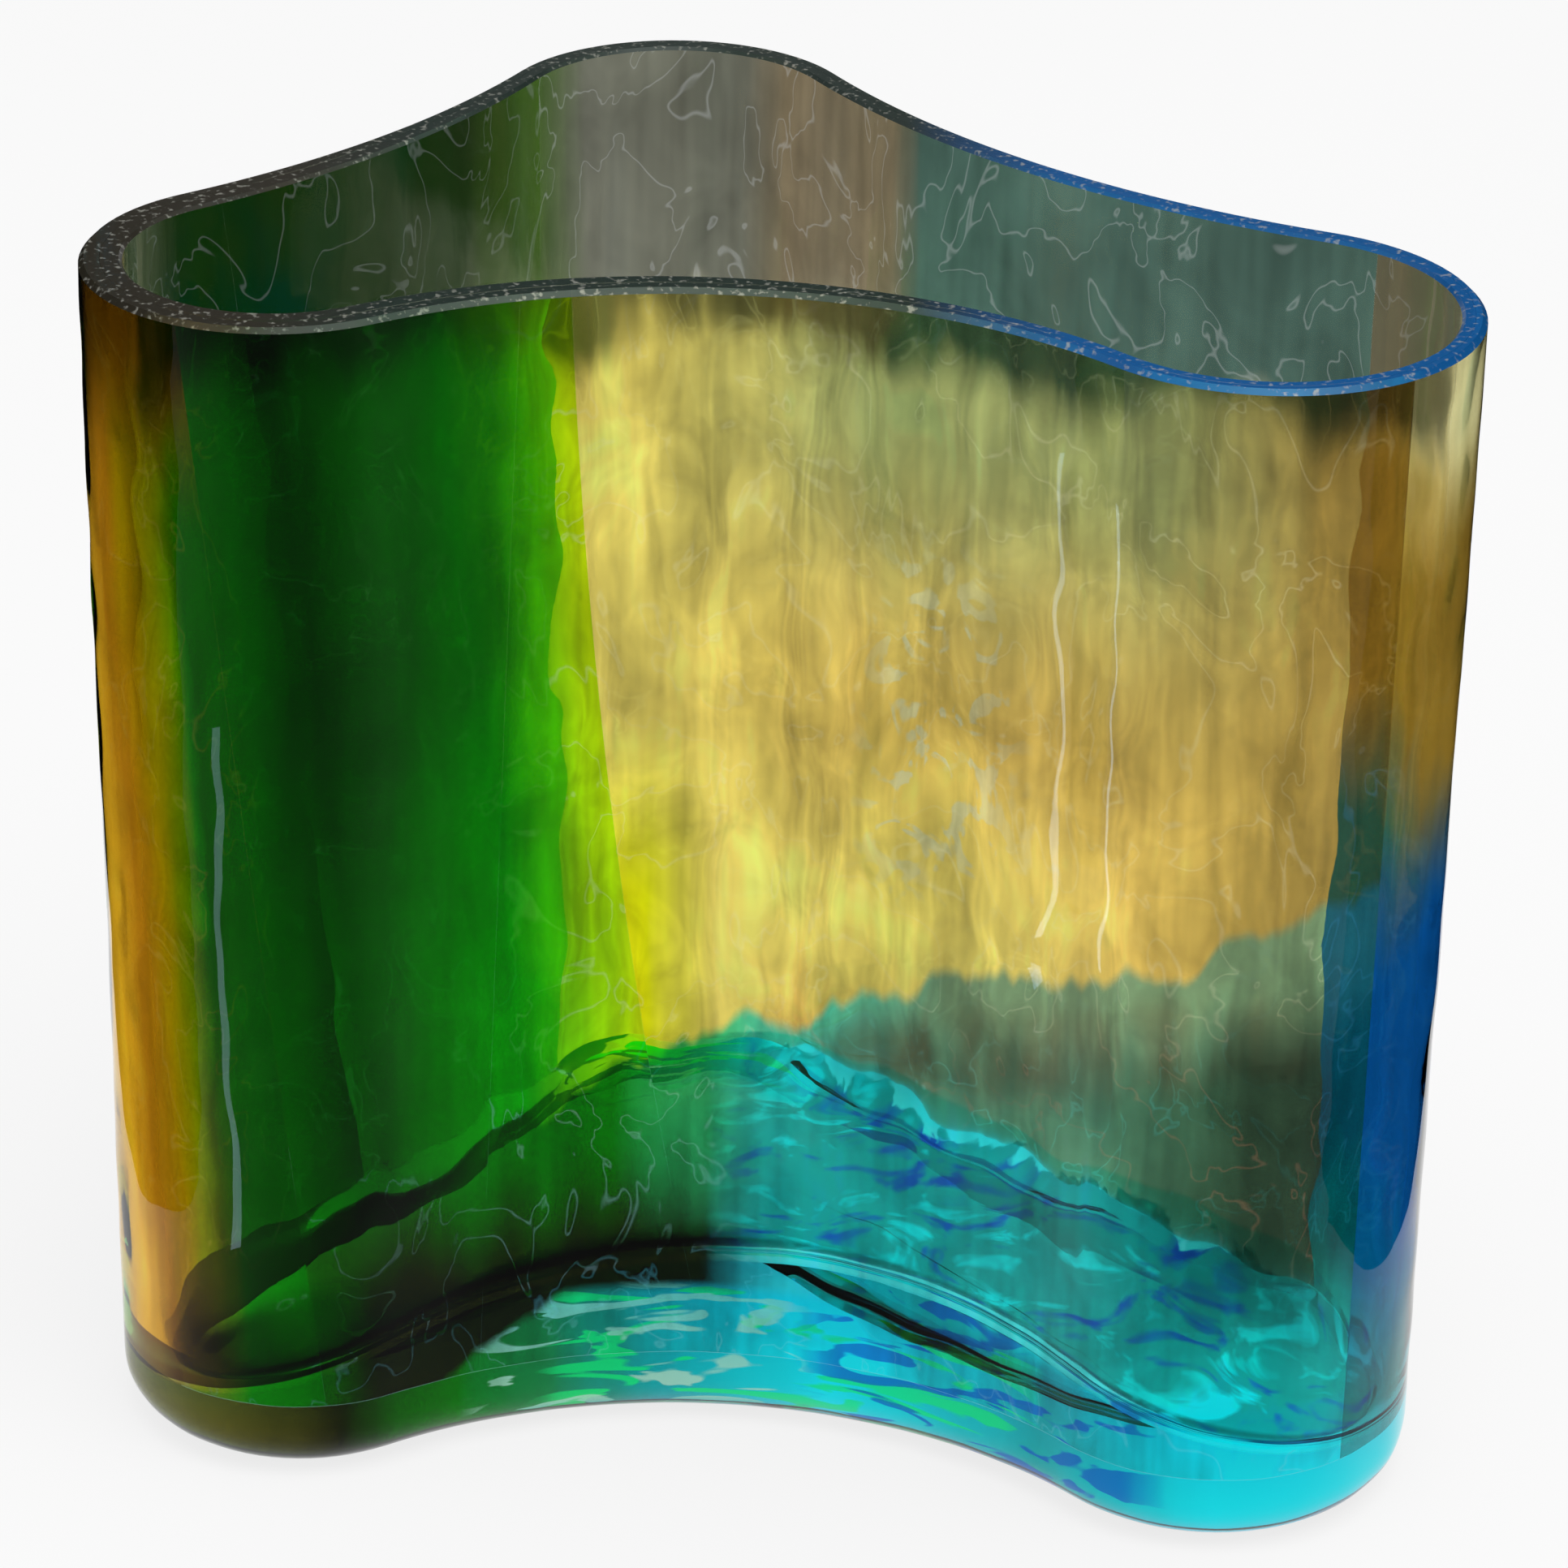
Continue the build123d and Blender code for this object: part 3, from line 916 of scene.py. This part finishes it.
# How far right of a lobe's middle a border between two overlays stands at its foot and rim, in millimetres.
AMBER_BORDER = (5.5, -13.0)            # left lobe
BLUE_BORDER = (19.7, 19.7)             # right lobe
GREEN_BORDER, LIME_BORDER, SMOKE_BORDER = (-28.7, -21.2), (7.8, -13.7), (-25.2, -25.2)  # back lobe
LIME_BOW = 4.0 * MM                    # how far the border between lime and gold bows out
TEAL_HEIGHT, TEAL_CLIMB = 84.0 * MM, 0.3  # top of the teal in the middle, and how steeply it climbs
BEHIND_LOBES = 8 * MM                  # front and back overlays part this far behind the side lobes' middles
FRONT, BACK, ROUND = "front", "back", "round"  # the part of the casing that an overlay takes
CRISP, SOFT = 1.0, 0.5                 # how strongly the optic mould shows


def bow_out(bm, bow):
    """Bows every upright line of the casing to one side, most at mid height."""
    for vert in bm.verts:
        t = (vert.co.z - FOOT) / (HIGH.z - FOOT)
        vert.co.x += bow * 4 * t * (1 - t)


def cut(bm, through, along, side):
    """Cuts the casing along a line and closes the cut. Side 1 keeps what is left of the line, -1 the rest."""
    normal = Vector((-along[1], 0.0, along[0])).normalized() * side
    everything = bm.verts[:] + bm.edges[:] + bm.faces[:]
    made = bmesh.ops.bisect_plane(
        bm, geom=everything, dist=1e-7, plane_co=Vector(through) + normal * JOINT_GAP / 2, plane_no=normal,
        clear_inner=True,
    )
    edges = [item for item in made["geom_cut"] if isinstance(item, bmesh.types.BMEdge)]
    mark(bm, bmesh.ops.holes_fill(bm, edges=edges)["faces"], JOINT)


def keep_part(bm, sizes, part):
    """Keeps the front or the back part of a casing whose ends are cut off."""
    (left, _), (right, _), _ = plan(sizes)[0]
    wrong = []
    for vert in bm.verts:
        middle = left.y + (right.y - left.y) * (vert.co.x - left.x) / (right.x - left.x) + BEHIND_LOBES
        if (vert.co.y < middle) != (part == FRONT):
            wrong.append(vert)
    bmesh.ops.delete(bm, geom=wrong, context="VERTS")


class VASE_OT_overlays(bpy.types.Operator):
    """Eight fields of coloured glass, fused round the inner gather from the base to the rim"""

    bl_idname = "vase.overlays"
    bl_label = "Overlays"

    def execute(self, context):
        sizes, colours = context.scene.vase_sizes, context.scene.vase_colours
        lobes = plan(sizes)[0]
        left, right, back = (lobe.x for lobe, _ in lobes)
        ring = casing(sizes)
        joint, rim = fused_joint(), ground_rim(colours)

        def border(lobe_x, foot, rim):
            """A border's foot and its direction, for a lobe's middle and two distances from it."""
            return (lobe_x + foot * MM, 0.0, FOOT), ((rim - foot) * MM, HIGH.z - FOOT)

        amber, blue = border(left, *AMBER_BORDER), border(right, *BLUE_BORDER)
        green, lime, smoke = (border(back, *ends) for ends in (GREEN_BORDER, LIME_BORDER, SMOKE_BORDER))
        teal = (0.0, 0.0, TEAL_HEIGHT), (1.0, TEAL_CLIMB)
        ends = [(amber, -1), (blue, 1)]
        fields = {
            "amber_overlay": ("amber_glass", amber_field, SOFT, ROUND, [(amber, 1)], []),
            "green_overlay_front": ("green_glass", left_front, SOFT, FRONT, [*ends, (green, 1)], []),
            "lime_overlay": ("lime_glass", left_front, CRISP, FRONT, [*ends, (green, -1)], [(lime, 1)]),
            "gold_overlay": ("gold_glass", right_front, CRISP, FRONT, [*ends, (teal, 1)], [(lime, -1)]),
            "teal_overlay": ("teal_glass", right_front, CRISP, FRONT, [*ends, (teal, -1)], [(lime, -1)]),
            "blue_overlay": ("blue_glass", blue_field, SOFT, ROUND, [(blue, -1)], []),
            "smoke_overlay": ("smoke_glass", smoke_field, CRISP, BACK, [*ends, (smoke, -1)], []),
            "green_overlay_back": ("green_glass", back_green_field, SOFT, BACK, [*ends, (smoke, 1)], []),
        }
        for node, (slot, paint, mould, part, straight, bowed) in fields.items():
            bm = ring.copy()
            for (through, along), side in straight:
                cut(bm, through, along, side)
            if bowed:
                bow_out(bm, LIME_BOW)
                for (through, along), side in bowed:
                    cut(bm, through, along, side)
                bow_out(bm, -LIME_BOW)
            if part != ROUND:
                keep_part(bm, sizes, part)
            materials = [joint, fire_polished(node, paint(colours), mould), rim, joint]
            write_piece(node + "_glass", bm, materials, node)
        ring.free()
        return {"FINISHED"}


# --- Studio -------------------------------------------------------------------------------------


FLOOR_DROP = 0.15 * MM                 # how far under the vase the studio floor lies
FLOOR_GLOW = 0.8                       # share of plain white in how the floor is seen, the rest is lit paint
BACKDROP_LIGHT = 0.7                   # how brightly the backdrop lights the vase, where 1 is how it is seen
LAMP_PLACE, LAMP_AIM = Vector((0.3, -0.5, 1.6)), Vector((0.0, 0.0, 0.1))
LAMP_SIZE, LAMP_WATTS = 1.2, 14.0
WINDOW_LIGHT = 22.0                    # how brightly the narrow window glows, where 1 is plain white
CAMERA_PLACE, CAMERA_LENS = (0.002136, -0.829975, 0.519734), 131.84
CAMERA_DOWN, CAMERA_ROLL = 26.884, 0.9496  # degrees
GLASS_BOUNCES, MIRROR_BOUNCES = 22, 12


def seen_white(tree):
    """1 for the rays that see the backdrop itself, straight, mirrored or through glass."""
    kinds = ("Is Camera Ray", "Is Glossy Ray", "Is Transmission Ray")
    camera, glossy, through = (add(tree, {}, kind="ShaderNodeLightPath", out=kind) for kind in kinds)
    either = add(tree, {0: camera, 1: glossy}, kind="ShaderNodeMath", operation="MAXIMUM")
    return add(tree, {0: either, 1: through}, kind="ShaderNodeMath", operation="MAXIMUM")


def place_card(scene, name, material, low, high):
    """Stands a card by the vase, between two corners. Nothing but a reflection shows it."""
    bm = bmesh.new()
    bmesh.ops.create_grid(bm, x_segments=1, y_segments=1, size=0.5)
    size = high - low
    along, upright = Vector((size.x, size.y, 0.0)), Vector((0.0, 0.0, 1.0))
    level = along.normalized()
    turn = Matrix((level, upright, level.cross(upright))).transposed().to_4x4()
    scale = Matrix.Diagonal((along.length, size.z, 1, 1))
    bmesh.ops.transform(bm, verts=bm.verts, matrix=Matrix.Translation((low + high) / 2) @ turn @ scale)
    mesh = bpy.data.meshes.new(name)
    bm.to_mesh(mesh)
    bm.free()
    mesh.materials.append(material)
    card = bpy.data.objects.new(name, mesh)
    scene.collection.objects.link(card)
    card.visible_camera = card.visible_diffuse = card.visible_transmission = card.visible_shadow = False


class VASE_OT_studio(bpy.types.Operator):
    """Pale floor, white backdrop, soft lamp, the cards that the glass mirrors, and the camera"""

    bl_idname = "vase.studio"
    bl_label = "Studio"

    def execute(self, context):
        scene = context.scene
        bm = bmesh.new()
        bmesh.ops.create_grid(bm, x_segments=1, y_segments=1, size=3.0)
        bmesh.ops.translate(bm, verts=bm.verts, vec=(0, 0, LOW.z - FLOOR_DROP))
        mesh = bpy.data.meshes.new("studio_floor")
        bm.to_mesh(mesh)
        bm.free()
        floor = bpy.data.objects.new("studio_floor", mesh)
        scene.collection.objects.link(floor)
        # Matt white paint: it takes the soft shadow and doesn't shine.
        material = bpy.data.materials.new("painted_floor")
        tree = new_tree(material)
        matt = add(tree, {"Color": linear("#f4f4f4")}, kind="ShaderNodeBsdfDiffuse")
        glow = add(tree, {"Strength": 1.0}, kind="ShaderNodeEmission")
        share = add(tree, {0: seen_white(tree), 1: FLOOR_GLOW}, **TIMES)
        both = add(tree, {0: share, 1: matt, 2: glow}, kind="ShaderNodeMixShader")
        add(tree, {"Surface": both}, **OUTPUT)
        mesh.materials.append(material)

        world = bpy.data.worlds.new("white_backdrop")
        scene.world = world
        tree = new_tree(world)
        level = add(tree, {"Value": seen_white(tree), "To Min": BACKDROP_LIGHT}, kind="ShaderNodeMapRange")
        sky = add(tree, {"Strength": level}, kind="ShaderNodeBackground")
        add(tree, {"Surface": sky}, kind="ShaderNodeOutputWorld")

        lamp = bpy.data.lights.new("overhead_softbox", "AREA")
        lamp.size, lamp.energy = LAMP_SIZE, LAMP_WATTS
        light = bpy.data.objects.new("overhead_softbox", lamp)
        light.location = LAMP_PLACE
        light.rotation_euler = (LAMP_AIM - LAMP_PLACE).to_track_quat("-Z", "Y").to_euler()
        light.visible_camera = light.visible_transmission = False
        scene.collection.objects.link(light)

        # Black felt: it has no shine, so what mirrors it stays dark.
        felt = bpy.data.materials.new("black_felt")
        tree = new_tree(felt)
        nap = add(tree, {"Color": linear("#141414")}, kind="ShaderNodeBsdfDiffuse")
        add(tree, {"Surface": nap}, **OUTPUT)
        # Daylight through a narrow window: the glass mirrors it as one cool upright streak.
        window = bpy.data.materials.new("window_light")
        tree = new_tree(window)
        glow = add(tree, {"Color": linear("#b4cce4"), "Strength": WINDOW_LIGHT}, kind="ShaderNodeEmission")
        add(tree, {"Surface": glow}, **OUTPUT)
        # Each card's material and two of its corners, in metres.
        for name, material, low, high in (
            ("left_flag", felt, (-0.17, -0.10, 0.0), (-0.17, 0.45, 0.3)),
            ("right_flag", felt, (0.17, -0.12, 0.0), (0.17, 0.45, 0.3)),
            ("back_flag", felt, (-0.6, 0.5, 0.3), (0.6, 0.5, 1.1)),
            ("narrow_window", window, (-0.1245, -0.1003, 0.004), (-0.1205, -0.1037, 0.104)),
        ):
            place_card(scene, name, material, Vector(low), Vector(high))

        camera = bpy.data.objects.new("camera", bpy.data.cameras.new("camera"))
        camera.data.sensor_width = 36.0
        camera.data.lens = CAMERA_LENS
        camera.matrix_world = (
            Matrix.Translation(CAMERA_PLACE)
            @ Matrix.Rotation(radians(90 - CAMERA_DOWN), 4, "X")
            @ Matrix.Rotation(radians(CAMERA_ROLL), 4, "Z")
        )
        scene.collection.objects.link(camera)
        scene.camera = camera
        scene.view_settings.view_transform = "Standard"
        # Light crosses many faces of glass, and what falls on the floor goes no further.
        scene.cycles.max_bounces = GLASS_BOUNCES
        scene.cycles.transmission_bounces = GLASS_BOUNCES
        scene.cycles.glossy_bounces = MIRROR_BOUNCES
        scene.cycles.diffuse_bounces = 0
        return {"FINISHED"}


class VASE_PT_panel(bpy.types.Panel):
    """Lists the pieces of the vase"""

    bl_label = "Vase"
    bl_space_type = "VIEW_3D"
    bl_region_type = "UI"
    bl_category = "Vase"

    def draw(self, context):
        for name in VaseSizes.__annotations__:
            self.layout.prop(context.scene.vase_sizes, name)
        for name in VaseColours.__annotations__:
            self.layout.prop(context.scene.vase_colours, name)
        for operator in OPERATORS:
            self.layout.operator(operator.bl_idname)


OPERATORS = (VASE_OT_inner_gather, VASE_OT_base_gather, VASE_OT_overlays, VASE_OT_studio)


def register():
    """Makes the properties, the operators and the panel known to Blender."""
    for made in (VaseSizes, VaseColours, *OPERATORS, VASE_PT_panel):
        bpy.utils.register_class(made)
    bpy.types.Scene.vase_sizes = bpy.props.PointerProperty(type=VaseSizes)
    bpy.types.Scene.vase_colours = bpy.props.PointerProperty(type=VaseColours)


def unregister():
    """Takes them out again."""
    del bpy.types.Scene.vase_sizes
    del bpy.types.Scene.vase_colours
    for made in (VASE_PT_panel, *reversed(OPERATORS), VaseColours, VaseSizes):
        bpy.utils.unregister_class(made)


def main():
    """Makes the whole vase and its studio."""
    register()
    bpy.ops.vase.inner_gather()
    bpy.ops.vase.base_gather()
    bpy.ops.vase.overlays()
    bpy.ops.vase.studio()


if __name__ == "__main__":
    main()
